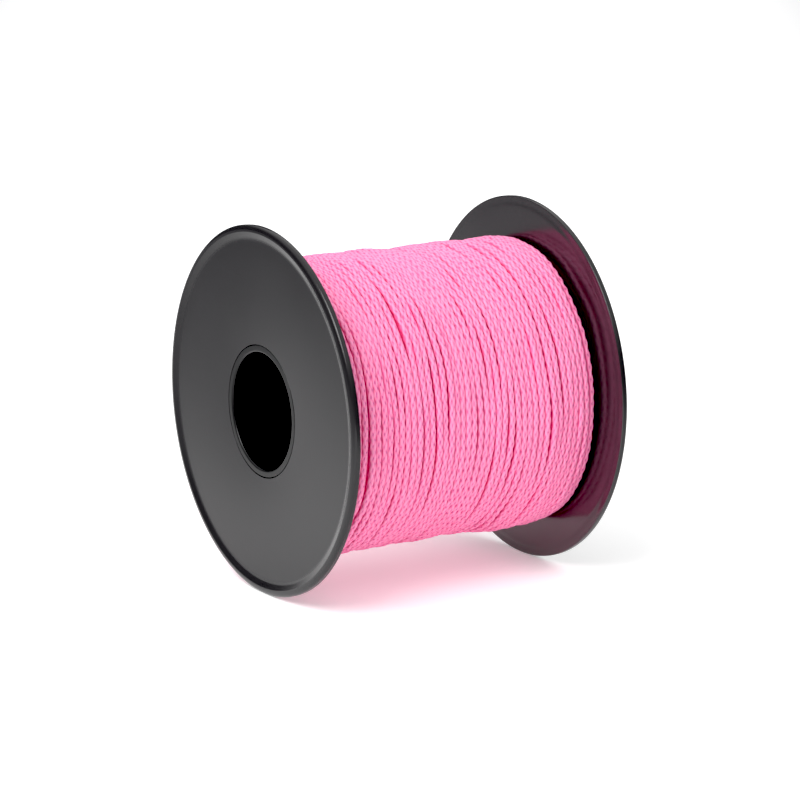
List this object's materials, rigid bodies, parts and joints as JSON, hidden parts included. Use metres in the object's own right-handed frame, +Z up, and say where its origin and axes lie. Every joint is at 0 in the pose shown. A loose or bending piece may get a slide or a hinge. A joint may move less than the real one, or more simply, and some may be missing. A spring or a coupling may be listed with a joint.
{
  "type": "line spool",
  "caption": "Wide plastic spool with round-edged dished flanges, a through bore and a drum full of braided pink cord.",
  "frame": {"origin": "the middle of the spool, on its axis", "axes": "+Y along the spool's axis, from the front flange to the rear flange; +Z up as the spool lies on its two rims"},
  "size_m": [0.08, 0.068, 0.08],
  "materials": {
    "flange": "satin black moulded plastic, glossier on the rim and inner face",
    "tube": "satin black moulded plastic",
    "drum": "satin black moulded plastic",
    "line": "bright pink braided synthetic fibre with a soft sheen"
  },
  "bodies": {
    "root": {"flange_front": "flange", "flange_rear": "flange", "arbor_tube": "tube", "winding_drum": "drum", "wound_line": "line"}
  },
  "joints": []
}
